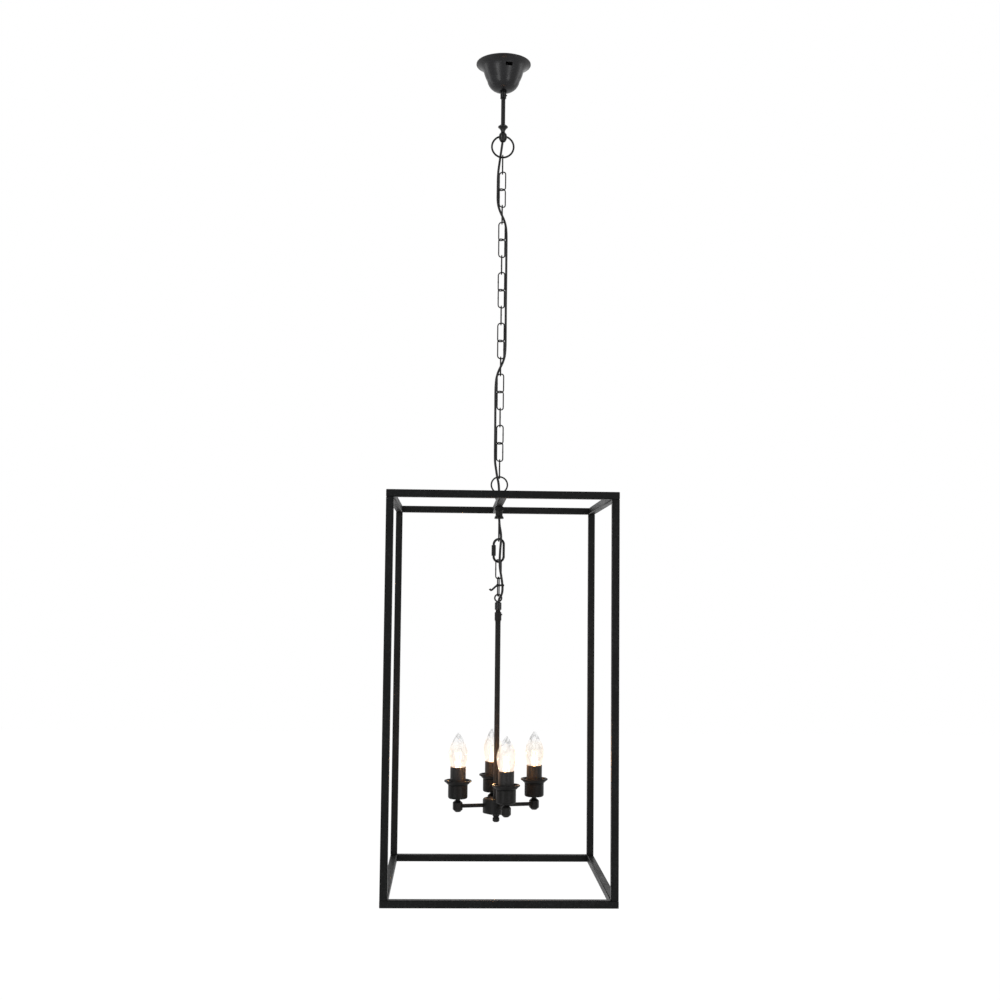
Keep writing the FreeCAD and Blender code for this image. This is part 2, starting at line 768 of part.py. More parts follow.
def square_tube(name, role, length):
    """A square tube that runs both ways from the middle of one of its own planes."""
    body = new_body(name)
    for half, kind in ((D.tube / 2, "PartDesign::Pad"), (D.tube / 2 - D.tube_wall, "PartDesign::Pocket")):
        corners = [(-half, -half), (half, -half), (half, half), (-half, half)]
        extrude(body, draw_outline(new_sketch(body, role), corners), length, kind, both_ways=True)
    return body


def make_eye(name, drop, radius, wire, stem_outline, bore, bore_depth):
    """A ring of wire that stands on a turned stem, bored from the middle of the ring downwards."""
    body = new_body(name, z=-drop)
    path = draw_circle(new_sketch(body, "XZ_Plane"), radius)
    pipe(body, path, 1, draw_circle(new_sketch(body, "YZ_Plane"), wire / 2, 0, radius))
    revolve(body, stem_outline)
    extrude(body, draw_circle(new_sketch(body, "XY_Plane"), bore / 2), bore_depth, "PartDesign::Pocket")
    return body


def make_frame_eye():
    boss = D.eye_boss / 2
    shank = D.shank_diameter / 2
    top = -eye_radius + D.eye_wire
    low = -D.eye_height - D.tube - D.eye_nut_height - D.hook_collar_height / 2
    outline = [
        (0, top), (boss - 2.2, top), (boss, top - 4), (boss, 2 - D.eye_height),
        (boss + 1.5, 2 - D.eye_height), (boss + 1.5, -D.eye_height), (shank, -D.eye_height), (shank, low), (0, low),
    ]
    eye = make_eye("frame_eye", eye_middle, eye_radius, D.eye_wire, outline, D.stem_bore, -low + 1)
    keep(eye, "frame_eye")

    nut = hex_nut("eye_nut", D.eye_nut_flats, D.eye_nut_height, shank + D.fit_gap, z=-collar_top)
    keep(nut, "eye_locknut")

    collar_r = D.hook_collar_diameter / 2
    lip = D.hook_collar_lip / 2
    high = D.hook_collar_height
    seat = high / 2 - 0.5
    flat = high * 0.2
    outline = [
        (D.stem_bore / 2, 0), (lip, 0), (lip, flat), (collar_r + 1.2, flat * 2), (collar_r + 1.2, high),
        (shank + D.fit_gap, high), (shank + D.fit_gap, seat), (D.stem_bore / 2, seat),
    ]
    collar = turned("hook_sleeve", outline, z=-collar_foot)
    leg = D.loop_width / 2 - D.loop_wire / 2
    for y in (-leg, leg):
        hole = draw_circle(new_sketch(collar, "XY_Plane"), D.loop_wire / 2 + D.fit_gap, 0, y)
        extrude(collar, hole, D.loop_wire * 1.5, "PartDesign::Pocket", backwards=True)
    keep(collar, "hook_collar")

    loop = new_body("loop", z=-collar_foot)
    path = new_sketch(loop, "YZ_Plane")
    top = D.loop_wire
    low = D.loop_wire / 2 - D.loop_reach
    points = [(-leg, top), (-leg, low + leg), (0, low), (leg, low + leg), (leg, top)]
    draw_outline(path, points, {1: (leg, 1), 2: (leg, 1)}, closed=False)
    pipe(loop, path, 4, draw_circle(new_sketch(loop, "XY_Plane", top), D.loop_wire / 2, 0, -leg))
    keep(loop, "lower_loop")


# ---------------------------------------------------------------- quick link and inner chain


def make_quick_link():
    half_width = (D.quick_width - D.quick_wire) / 2
    middle = (quick_top + quick_end) / 2
    body = new_body("quick", z=-middle, turn=D.quick_turn)
    half_length = (quick_end - quick_top) / 2
    path = new_sketch(body, "XZ_Plane")
    side = half_length - half_width
    points = [
        (-half_width, side), (-half_width, -side), (0, -half_length), (half_width, -side),
        (half_width, side), (0, half_length),
    ]
    draw_outline(path, points, {index: (half_width, 1) for index in (1, 2, 4, 5)})
    pipe(body, path, 6, draw_circle(new_sketch(body, "XY_Plane"), D.quick_wire / 2, half_width))
    keep(body, "quick_link")

    nut = hex_nut("quick_nut", D.quick_nut_flats, D.quick_nut_length, D.quick_wire / 2 + D.fit_gap)
    place(nut, x=half_width, z=-D.quick_nut_length / 2)
    link = doc.addObject("App::Link", "quick_nut_seated")
    link.LinkedObject = nut
    link.LinkTransform = True
    place(link, z=-middle, turn=D.quick_turn)
    sleeve = doc.addObject("Part::Compound", "quick_link_sleeve")
    sleeve.Links = [link]
    keep(sleeve, "quick_link_sleeve")


def make_inner_links():
    for index in range(2):
        turn = D.quick_turn + D.link_twist * (index + 1)
        make_link(f"inner_link_{index + 1}", inner_top + pitch * index, turn)


# ---------------------------------------------------------------- rod and hub


def make_rod():
    """The rod's eye and collars, the rod itself, the hollow hub and the finial that closes it."""
    collar = D.rod_collar_diameter / 2
    neck = D.rod_neck_diameter / 2
    top = -rod_eye_radius + D.rod_eye_wire / 2
    shoulder = top - D.rod_eye_wire
    foot = -rod_eye_radius - D.upper_collar_height
    outline = [
        (0, top), (D.rod_eye_boss / 2 - 1, top), (D.rod_eye_boss / 2, shoulder), (collar - 0.8, shoulder),
        (collar, shoulder - 0.8), (collar, foot + 0.8), (collar - 0.8, foot), (0, foot),
    ]
    eye = make_eye("rod_eye", rod_eye_middle, rod_eye_radius, D.rod_eye_wire, outline, D.stem_bore, -foot + 1)
    turn = D.quick_turn + D.link_twist * 2 + 90
    place(eye, z=-rod_eye_middle, turn=turn)
    keep(eye, "rod_eye")

    low = rod_loop_foot - rod_end
    rod = D.rod_diameter / 2
    outline = [
        (D.rod_bore / 2, 0), (neck, 0), (neck, -D.rod_neck_height), (rod, -D.rod_neck_height),
        (rod, low), (D.rod_bore / 2, low),
    ]
    keep(turned("rod", outline, z=-rod_loop_foot), "cluster_rod")

    bore = rod + D.fit_gap
    high = D.lower_collar_height
    outline = [
        (bore, 0), (collar - 1.1, 0), (collar - 1.1, 2), (collar, 2.6), (collar, high - 0.8),
        (collar - 0.8, high), (bore, high),
    ]
    body = turned("rod_sleeve", outline, z=-lower_collar_top - high)
    grub_height = high * 0.75
    seat = draw_circle(new_sketch(body, "YZ_Plane"), D.grub_screw / 2, 0, grub_height)
    extrude(body, seat, collar * 2, "PartDesign::Pocket", backwards=True)
    keep(body, "rod_collar")
    grub_drop = lower_collar_top + high - grub_height
    keep(make_grub("rod_grub", bore, collar + D.grub_proud, grub_drop), "rod_grub_screw")


def make_hub():
    """A round box whose wall takes the arms, a shallow dome under it and a finial on the rod's end."""
    hub = D.hub_diameter / 2
    wall = D.hub_wall
    high = D.hub_height
    rod = D.rod_diameter / 2 + D.fit_gap
    edge = D.hub_round
    outline = [
        (hub, 0), (hub, high - edge), (hub - edge, high), (rod, high), (rod, high - wall),
        (hub - edge, high - wall), (hub - wall, high - edge), (hub - wall, 0),
    ]
    shell = turned("hub_shell", outline, {1: (edge, 1), 5: (edge - wall, -1)}, z=-hub_foot)
    bore = doc.addObject("Part::Cylinder", "arm_bore")
    bore.setExpression("Radius", (D.arm_diameter / 2 + D.fit_gap).text)
    bore.setExpression("Height", hub.text)
    bore.Placement.Rotation = FreeCAD.Rotation(Vector(0, 1, 0), 90)
    bore.setExpression("Placement.Base.x", (hub / 2).text)
    bores = []
    for angle in lamp_angles:
        link = doc.addObject("App::Link", "arm_bore_copy")
        link.LinkedObject = bore
        link.LinkTransform = True
        bores.append(place(link, z=-arm_drop, turn=angle))
    tools = doc.addObject("Part::Compound", "arm_bores")
    tools.Links = bores
    cup = doc.addObject("Part::Cut", "hub_cup")
    cup.Base = shell
    cup.Tool = tools
    keep(cup, "hub_cup")

    foot = D.finial_diameter / 2
    outline = [
        (hub, 0), (rod, 0), (rod, -D.hub_dome), (foot + 1, -D.hub_dome), (hub - 1.5, -1.2), (hub, -1.2),
    ]
    keep(turned("hub_base", outline, {3: (hub * 2.4, 1)}, z=-hub_foot), "hub_plate")

    low = -D.finial_height
    grip = foot - 1.2
    outline = [
        (0, low), (foot - 2, low), (foot, low + 2), (foot, low * 0.45), (grip, low * 0.38), (grip, low * 0.25),
        (foot, low * 0.18), (foot, 0), (rod, 0), (rod, low / 2 - 0.5), (0, low / 2 - 0.5),
    ]
    keep(turned("finial", outline, z=-hub_foot - D.hub_dome), "hub_finial")


# ---------------------------------------------------------------- lamps


def draw_octagon(sketch, half, cut):
    """A square with its corners cut off."""
    return draw_outline(sketch, [
        (-half, cut - half), (cut - half, -half), (half - cut, -half), (half, cut - half),
        (half, half - cut), (half - cut, half), (cut - half, half), (-half, half - cut),
    ])


def make_arms():
    arm = new_body("arm")
    start = D.hub_diameter / 2 - D.hub_wall - 1
    finish = D.lamp_radius - D.elbow_width / 2
    round_bar = draw_circle(new_sketch(arm, "YZ_Plane", start), D.arm_diameter / 2)
    extrude(arm, round_bar, finish - start)
    copies_around("arms", arm, lamp_angles, -arm_drop)

    elbow = new_body("elbow", x=D.lamp_radius)
    cut = D.elbow_chamfer
    tall = D.elbow_height / 2
    sections = []
    for height, inset in ((-tall, cut), (cut - tall, 0), (tall - cut, 0), (tall, cut)):
        section = new_sketch(elbow, "XY_Plane", height)
        sections.append(draw_octagon(section, D.elbow_width / 2 - inset, cut - inset * (2 - math.sqrt(2))))
    block = elbow.newObject("PartDesign::AdditiveLoft", "block")
    block.Profile = sections[0]
    block.Sections = sections[1:]
    block.Ruled = True
    neck = draw_circle(new_sketch(elbow, "XY_Plane", tall - cut), D.nipple_diameter / 2 - 1)
    extrude(elbow, neck, cut + D.nipple_height - 1)
    copies_around("arm_elbows", elbow, lamp_angles, -arm_drop)


def lamp_piece(label, outline, arcs=None, rise=0):
    """A turned piece that stands on the foot of its candle cup, four times."""
    source = turned(f"{label}_source", outline, arcs, x=D.lamp_radius)
    return copies_around(label, source, lamp_angles, rise - cup_foot)


def make_lamps():
    cup = D.cup_diameter / 2
    wall = D.cup_wall
    edge = D.cup_round
    high = D.cup_height
    thread = D.nipple_diameter / 2
    outline = [
        (thread - 2, 0), (cup - edge, 0), (cup, edge), (cup, high), (cup - wall, high),
        (cup - wall, edge), (cup - edge, wall), (thread - 2, wall),
    ]
    lamp_piece("candle_cups", outline, {1: (edge, 1), 5: (edge - wall, -1)})

    sleeve = D.sleeve_diameter / 2
    tray = D.tray_diameter / 2
    thin = D.tray_wall
    rise = D.tray_rise
    lip = D.tray_lip
    outline = [
        (sleeve + 0.2, 0), (cup - wall, 0), (tray, rise), (tray + lip / 2, rise), (tray + lip / 2, rise + lip),
        (tray - lip / 2, rise + lip), (tray - lip / 2, rise + thin), (cup - wall - 1, thin), (sleeve + 0.2, thin),
    ]
    curves = {
        1: (D.tray_curve, 1), 3: (lip * 0.62, 1), 5: (lip * 1.2, 1), 6: (D.tray_curve - thin, -1),
    }
    lamp_piece("drip_trays", outline, curves, high)

    outline = tube_outline(sleeve - D.sleeve_wall, sleeve, 0, D.sleeve_height)
    lamp_piece("candle_sleeves", outline, rise=high - 1)

    holder = D.holder_diameter / 2
    cap = D.cap_diameter / 2 + D.shank_gap
    tall = D.holder_height
    floor = tall - D.cap_height - 1
    outline = [
        (0, 0), (thread, 0), (thread, 3), (holder, 6), (holder, tall), (cap, tall), (cap, floor), (0, floor),
    ]
    lamp_piece("lampholders", outline, rise=wall)

    bulb_foot = wall + tall - D.cap_height
    cap = D.cap_diameter / 2
    high = D.cap_height
    outline = [
        (0, 0), (2.4, 0), (3.4, 1.6), (cap - 0.6, 3.6), (cap, 4.4), (cap, high), (0, high),
    ]
    lamp_piece("bulb_caps", outline, rise=bulb_foot)

    glass = D.bulb_diameter / 2
    neck = D.bulb_neck_radius
    thin = D.bulb_wall
    tall = D.bulb_height
    belly = tall * 0.49
    shoulder = tall * 0.8
    slim = glass * 0.6
    root = D.bulb_neck_height
    throat = cap - 1
    outline = [
        (throat, 0), (neck, root), (glass, belly), (slim, shoulder), (1.6, tall), (0, tall),
        (0, tall - thin * 2), (1, tall - thin * 2), (slim - thin, shoulder - thin / 2), (glass - thin, belly),
        (neck - thin, root), (throat - thin, 0),
    ]
    curves = {
        1: (D.bulb_side_curve, 1), 2: (D.bulb_belly_curve, 1), 3: (D.bulb_tip_curve, 1),
        7: (D.bulb_tip_curve, -1), 8: (D.bulb_belly_curve, -1), 9: (D.bulb_side_curve, -1),
    }
    lamp_piece("bulb_glasses", outline, curves, rise=bulb_foot + high)
    make_filaments(bulb_foot + high)


def make_filaments(rise):
    """In each bulb a glass stem, and on it four straight filaments between two small plates."""
    body = new_body("filaments", x=D.lamp_radius)
    plate = D.filament_circle + D.filament_diameter
    low = D.stem_glass_height
    high = low + D.filament_length
    core = D.filament_diameter / 2
    sheet = D.filament_diameter / 4
    revolve(body, [
        (0, 0), (D.filament_circle, 0), (core * 2, low - sheet), (plate, low - sheet), (plate, low),
        (core, low), (core, high), (plate, high), (plate, high + sheet), (0, high + sheet),
    ])
    circles = new_sketch(body, "XY_Plane", low - sheet / 2)
    for x, y in ((1, 0), (0, 1), (-1, 0), (0, -1)):
        draw_circle(circles, D.filament_diameter / 2, D.filament_circle * x, D.filament_circle * y)
    extrude(body, circles, D.filament_length + sheet)
    copies_around("bulb_filaments", body, lamp_angles, rise - cup_foot)


# ---------------------------------------------------------------- build, check and write


def build():
    make_bracket()
    make_terminal_block()
    make_stem()
    make_ring_bead()
    make_canopy()
    make_top_ring()
    make_chain()
    make_frame()
    make_frame_eye()
    make_quick_link()
    make_inner_links()
    make_rod()
    make_hub()
    make_arms()
    make_lamps()
    make_flex()
    doc.recompute()


def check():
    failed = [thing.Name for thing in doc.Objects if {"Invalid", "Error"} & set(thing.State)]
    if failed:
        raise RuntimeError(f"failed objects: {failed}")
    for thing in parts:
        shape = Part.getShape(thing)
        if shape.isNull() or not shape.isValid() or not shape.Solids:
            raise RuntimeError(f"bad shape: {thing.Label}")


def write():
    for thing in parts:
        Part.getShape(thing).exportStep(f"parts/{thing.Label}.step")
    print(len(parts), "parts")
    for name in levels.PropertiesList:
        if isinstance(getattr(levels, name), float):
            print("level", name, round(getattr(levels, name), 4))


build()
check()
write()
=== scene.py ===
import json
import math

import bmesh
import bpy
from mathutils import Matrix, Vector

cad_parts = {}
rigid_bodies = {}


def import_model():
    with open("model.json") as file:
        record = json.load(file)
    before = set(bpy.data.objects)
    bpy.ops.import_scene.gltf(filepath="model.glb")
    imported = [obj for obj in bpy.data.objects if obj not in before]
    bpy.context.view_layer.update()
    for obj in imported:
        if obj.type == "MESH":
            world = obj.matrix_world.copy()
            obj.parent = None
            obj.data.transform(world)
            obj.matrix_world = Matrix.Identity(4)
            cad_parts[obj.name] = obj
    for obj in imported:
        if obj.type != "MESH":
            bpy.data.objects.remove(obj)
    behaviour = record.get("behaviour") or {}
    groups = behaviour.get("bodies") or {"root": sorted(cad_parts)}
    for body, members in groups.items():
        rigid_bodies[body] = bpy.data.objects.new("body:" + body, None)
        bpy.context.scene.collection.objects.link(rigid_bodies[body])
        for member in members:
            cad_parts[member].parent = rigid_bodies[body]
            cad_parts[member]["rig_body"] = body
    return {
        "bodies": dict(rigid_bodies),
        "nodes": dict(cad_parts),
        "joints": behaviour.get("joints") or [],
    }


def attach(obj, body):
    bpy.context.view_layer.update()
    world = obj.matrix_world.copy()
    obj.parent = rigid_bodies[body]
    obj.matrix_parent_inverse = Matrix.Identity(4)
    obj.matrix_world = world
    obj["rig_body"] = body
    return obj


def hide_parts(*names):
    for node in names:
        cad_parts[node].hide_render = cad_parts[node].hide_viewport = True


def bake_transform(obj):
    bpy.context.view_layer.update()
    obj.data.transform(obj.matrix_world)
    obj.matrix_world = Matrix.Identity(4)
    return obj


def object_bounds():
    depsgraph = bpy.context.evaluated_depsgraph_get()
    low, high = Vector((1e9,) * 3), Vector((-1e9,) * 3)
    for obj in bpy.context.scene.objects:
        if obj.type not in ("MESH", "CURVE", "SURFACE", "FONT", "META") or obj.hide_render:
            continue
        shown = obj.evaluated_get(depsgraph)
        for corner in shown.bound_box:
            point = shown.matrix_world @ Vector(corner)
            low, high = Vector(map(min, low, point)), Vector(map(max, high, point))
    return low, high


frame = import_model()
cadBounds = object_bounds()
nodes = frame["nodes"]
mm = 0.001
print("frame loaded:", len(nodes), "nodes")

# the camera, fitted to the picture's straight edges
cameraSettings = {
    "place": (-0.08419, -2.38637, -1.02478),
    "focalPixels": 1284.5,
    "imagePixels": 1000,
    "sensor": 36.0,
    "clip": (0.05, 60),
    "yaw": 2.056,
    "tiltUp": 4.491,
    "roll": 0.581,
}


def aimCamera(settings):
    yaw, tilt, roll = (math.radians(settings[key]) for key in ("yaw", "tiltUp", "roll"))
    flat = Vector((math.sin(yaw), math.cos(yaw), 0))
    forward = flat * math.cos(tilt) + Vector((0, 0, math.sin(tilt)))
    right = Vector((math.cos(yaw), -math.sin(yaw), 0))
    up = right.cross(forward)
    rolledRight = right * math.cos(roll) + up * math.sin(roll)
    rolledUp = up * math.cos(roll) - right * math.sin(roll)
    data = bpy.data.cameras.new("pictureCamera")
    data.sensor_width = settings["sensor"]
    data.lens = settings["focalPixels"] / settings["imagePixels"] * settings["sensor"]
    data.clip_start, data.clip_end = settings["clip"]
    camera = bpy.data.objects.new("pictureCamera", data)
    bpy.context.scene.collection.objects.link(camera)
    turn = Matrix((rolledRight, rolledUp, -forward)).transposed().to_4x4()
    camera.matrix_world = Matrix.Translation(settings["place"]) @ turn
    bpy.context.scene.camera = camera


aimCamera(cameraSettings)


# a wire between nodes; plain Python sums on it add the Math nodes
class Wire:
    def __init__(self, tree, socket):
        self.tree = tree
        self.socket = socket

    def sum(self, operation, other, turned=False):
        pair = [other, self] if turned else [self, other]
        return self.tree.node("ShaderNodeMath", {"operation": operation}, {0: pair[0], 1: pair[1]})

    def __add__(self, other):
        return self.sum("ADD", other)

    def __radd__(self, other):
        return self.sum("ADD", other)

    def __sub__(self, other):
        return self.sum("SUBTRACT", other)

    def __rsub__(self, other):
        return self.sum("SUBTRACT", other, True)

    def __mul__(self, other):
        return self.sum("MULTIPLY", other)

    def __truediv__(self, other):
        return self.sum("DIVIDE", other)


# any node tree: of a material, of the world or of geometry
class Tree:
    def __init__(self, nodeTree):
        self.tree = nodeTree
        self.tree.nodes.clear()

    def node(self, kind, settings=None, values=None, out=0):
        made = self.tree.nodes.new(kind)
        for name, value in (settings or {}).items():
            setattr(made, name, value)
        for key, value in (values or {}).items():
            if isinstance(value, Wire):
                self.tree.links.new(value.socket, made.inputs[key])
            else:
                made.inputs[key].default_value = value
        return Wire(self, made.outputs[out]) if made.outputs else None

    def seen(self):
        # 1 where the camera, a reflection or a glass looks, 0 where light is gathered
        camera, shiny, through = (self.node("ShaderNodeLightPath", out=name)
                                  for name in ("Is Camera Ray", "Is Glossy Ray", "Is Transmission Ray"))
        return camera.sum("MAXIMUM", shiny).sum("MAXIMUM", through)

    def given(self, name):
        return self.node("NodeGroupInput", out=name)

    def joined(self, **parts):
        return self.node("ShaderNodeCombineXYZ", values=parts)

    def giveOut(self, geometry, material):
        real = self.node("GeometryNodeRealizeInstances", values={"Geometry": geometry})
        painted = self.node("GeometryNodeSetMaterial", values={"Geometry": real, "Material": material})
        self.node("NodeGroupOutput", values={"Geometry": painted})


class Paint(Tree):
    def __init__(self, name, viewColor=(0.05, 0.05, 0.05)):
        self.material = bpy.data.materials.new(name)
        self.material.use_nodes = True
        self.material.diffuse_color = (*viewColor, 1)
        super().__init__(self.material.node_tree)

    def spot(self):
        return self.node("ShaderNodeTexCoord", out="Object")

    def height(self):
        return self.node("ShaderNodeSeparateXYZ", values={"Vector": self.spot()}, out="Z")

    def noise(self, scale, detail=3.0, rough=0.5, at=None):
        values = {"Vector": at or self.spot(), "Scale": scale, "Detail": detail, "Roughness": rough}
        return self.node("ShaderNodeTexNoise", values=values)

    def stretched(self, scale):
        return self.node("ShaderNodeMapping", values={"Vector": self.spot(), "Scale": scale})

    def between(self, wire, low, high, toLow=0.0, toHigh=1.0):
        values = {0: wire, 1: low, 2: high, 3: toLow, 4: toHigh}
        return self.node("ShaderNodeMapRange", {"clamp": True}, values)

    def blend(self, share, first, second):
        values = {0: share, 6: self.rgba(first), 7: self.rgba(second)}
        return self.node("ShaderNodeMix", {"data_type": "RGBA"}, values, 2)

    def rgba(self, color):
        return color if isinstance(color, Wire) else (*color, 1)

    def bump(self, height, depth, normal=None):
        values = {"Strength": 1.0, "Distance": depth, "Height": height}
        if normal:
            values["Normal"] = normal
        return self.node("ShaderNodeBump", values=values)

    def finish(self, values):
        values = {key: self.rgba(value) if isinstance(value, tuple) and len(value) == 3 else value
                  for key, value in values.items()}
        surface = self.node("ShaderNodeBsdfPrincipled", values=values)
        self.node("ShaderNodeOutputMaterial", values={"Surface": surface})
        return self.material


# the studio: a plain floor far below, white surroundings and soft lamps
studioSettings = {
    "floorBelow": 0.95,
    "floorSize": 24.0,
    "floorColor": (0.86, 0.86, 0.85),
    "whiteShare": 0.9,
    "whiteStrength": 1.1,
    "fillColor": (0.95, 0.96, 1.0),
    "fillStrength": 0.3,
    "lamps": [
        {"place": (-1.85, -2.5, -0.6), "size": (0.6, 4.2), "power": 62},
        {"place": (1.75, -2.6, -0.6), "size": (0.5, 4.2), "power": 46},
        {"place": (2.9, 1.0, -0.6), "size": (0.8, 2.4), "power": 14},
        {"place": (-2.9, 1.2, -0.6), "size": (0.8, 2.4), "power": 14},
    ],
    "patchRadius": 51.2 * mm,
    "patchSides": 48,
    "patchHeight": 0.4 * mm,
    "patchColor": (0.5, 0.5, 0.5),
}


def makeStudio(settings):
    low = cadBounds[0].z - settings["floorBelow"]
    half = settings["floorSize"] / 2
    corners = [(-half, -half, low), (half, -half, low), (half, half, low), (-half, half, low)]
    paint = Paint("floorPaint", settings["floorColor"])
    soft = paint.node("ShaderNodeBsdfDiffuse", values={"Color": (*settings["floorColor"], 1)})
    white = paint.node("ShaderNodeEmission", values={
        "Color": (1, 1, 1, 1), "Strength": settings["whiteStrength"]})
    both = paint.node("ShaderNodeMixShader", values={
        0: paint.seen() * settings["whiteShare"], 1: soft, 2: white})
    paint.node("ShaderNodeOutputMaterial", values={"Surface": both})
    stagePiece("floor", corners, paint.material)

    # the bit of ceiling that closes the canopy from above, clear when seen from over it
    around = [math.tau * step / settings["patchSides"] for step in range(settings["patchSides"])]
    rim = [(math.cos(angle) * settings["patchRadius"], -math.sin(angle) * settings["patchRadius"],
            settings["patchHeight"]) for angle in around]
    paint = Paint("ceilingPaint", settings["patchColor"])
    soft = paint.node("ShaderNodeBsdfDiffuse", values={"Color": (*settings["patchColor"], 1)})
    clear = paint.node("ShaderNodeBsdfTransparent")
    above = paint.node("ShaderNodeNewGeometry", out="Backfacing")
    both = paint.node("ShaderNodeMixShader", values={0: above, 1: soft, 2: clear})
    paint.node("ShaderNodeOutputMaterial", values={"Surface": both})
    stagePiece("ceilingPatch", rim, paint.material)

    for number, lamp in enumerate(settings["lamps"], 1):
        data = bpy.data.lights.new(f"softLamp{number}", "AREA")
        data.shape = "RECTANGLE"
        data.size, data.size_y = lamp["size"]
        data.energy = lamp["power"]
        light = bpy.data.objects.new(f"softLamp{number}", data)
        bpy.context.scene.collection.objects.link(light)
        light.location = lamp["place"]
        aim = Vector((0, 0, lamp["place"][2])) - light.location
        light.rotation_euler = aim.to_track_quat("-Z", "Y").to_euler()

    world = bpy.data.worlds.new("studioWorld")
    bpy.context.scene.world = world
    world.use_nodes = True
    sky = Tree(world.node_tree)
    fill = sky.node("ShaderNodeBackground", values={
        "Color": (*settings["fillColor"], 1), "Strength": settings["fillStrength"]})
    white = sky.node("ShaderNodeBackground", values={"Color": (1, 1, 1, 1), "Strength": 1.0})
    both = sky.node("ShaderNodeMixShader", values={0: sky.seen(), 1: fill, 2: white})
    sky.node("ShaderNodeOutputWorld", values={"Surface": both})


def stagePiece(name, corners, material):
    mesh = bpy.data.meshes.new(name)
    mesh.from_pydata(corners, [], [tuple(range(len(corners)))])
    mesh.materials.append(material)
    piece = bpy.data.objects.new(name, mesh)
    bpy.context.scene.collection.objects.link(piece)


bpy.context.scene.view_settings.view_transform = "Standard"
makeStudio(studioSettings)
print("studio ready")

# finishes
coatSettings = {
    "frameCoat": {
        "color": (0.0026, 0.0028, 0.0028), "rough": 0.42, "shine": 0.1, "grain": 620, "peel": 0.00016},
    "canopyCoat": {
        "color": (0.0046, 0.0046, 0.0053), "rough": 0.3, "shine": 0.24, "grain": 900, "peel": 0.0000015},
    "stemCoat": {
        "color": (0.003, 0.003, 0.0033), "rough": 0.18, "shine": 0.13, "grain": 900, "peel": 0.000006},
    "knobCoat": {
        "color": (0.003, 0.003, 0.0032), "rough": 0.1, "shine": 0.2, "grain": 900, "peel": 0.000003},
    "chainCoat": {
        "color": (0.0038, 0.0038, 0.0038), "rough": 0.32, "shine": 0.12, "grain": 1800, "peel": 0.000012},
    "clusterCoat": {
        "color": (0.0048, 0.0046, 0.0044), "rough": 0.42, "shine": 0.1, "grain": 1300, "peel": 0.00002},
    "sleeveCoat": {
        "color": (0.0115, 0.0108, 0.0103), "rough": 0.5, "shine": 0.16, "grain": 1000, "peel": 0.00001},
}
coatTexture = {
    "cloud": (14, 4, 0.6),
    "fleckSize": 0.55,
    "fleckShare": 0.65,
    "thin": (0.5, 0.66),
    "wornTimes": 3.2,
    "wornMore": 0.002,
    "glossBand": (0.35, 0.65),
    "glossSpread": (-0.08, 0.1),
    "wave": (90, 2, 0.5),
    "waveDepth": 1.2,
}


def blackCoat(name, settings, texture):
    # powder coat: a fine peel, flecks where it lies thin, and soft clouds in its gloss
    paint = Paint(name)
    cloud = paint.noise(*texture["cloud"])
    fleck = paint.noise(settings["grain"] * texture["fleckSize"], 3, 0.6)
    mixed = cloud * (1 - texture["fleckShare"]) + fleck * texture["fleckShare"]
    worn = tuple(part * texture["wornTimes"] + texture["wornMore"] for part in settings["color"])
    base = paint.blend(paint.between(mixed, *texture["thin"]), settings["color"], worn)
    spread = [settings["rough"] + more for more in texture["glossSpread"]]
    rough = paint.between(cloud * 0.5 + fleck * 0.5, *texture["glossBand"], *spread)
    peel = paint.bump(paint.noise(settings["grain"], 3, 0.65), settings["peel"])
    wave = paint.bump(paint.noise(*texture["wave"]), settings["peel"] * texture["waveDepth"], peel)
    return paint.finish({
        "Base Color": base, "Roughness": rough, "Normal": wave, "Specular IOR Level": settings["shine"],
    })


coats = {name: blackCoat(name, settings, coatTexture) for name, settings in coatSettings.items()}

zincSettings = {"color": (0.55, 0.56, 0.56), "tint": (0.42, 0.43, 0.40), "rough": 0.32}


def zincPlate(settings):
    paint = Paint("zincPlate", settings["color"])
    spangle = paint.node("ShaderNodeTexVoronoi", values={"Vector": paint.spot(), "Scale": 260.0})
    cloud = paint.noise(60, 4, 0.6)
    base = paint.blend(paint.between(cloud, 0.35, 0.65), settings["color"], settings["tint"])
    rough = paint.between(spangle, 0.0, 0.8, settings["rough"], settings["rough"] + 0.14)
    normal = paint.bump(paint.noise(700, 2, 0.6), 0.00001)
    return paint.finish({"Base Color": base, "Metallic": 1.0, "Roughness": rough, "Normal": normal})


zinc = zincPlate(zincSettings)

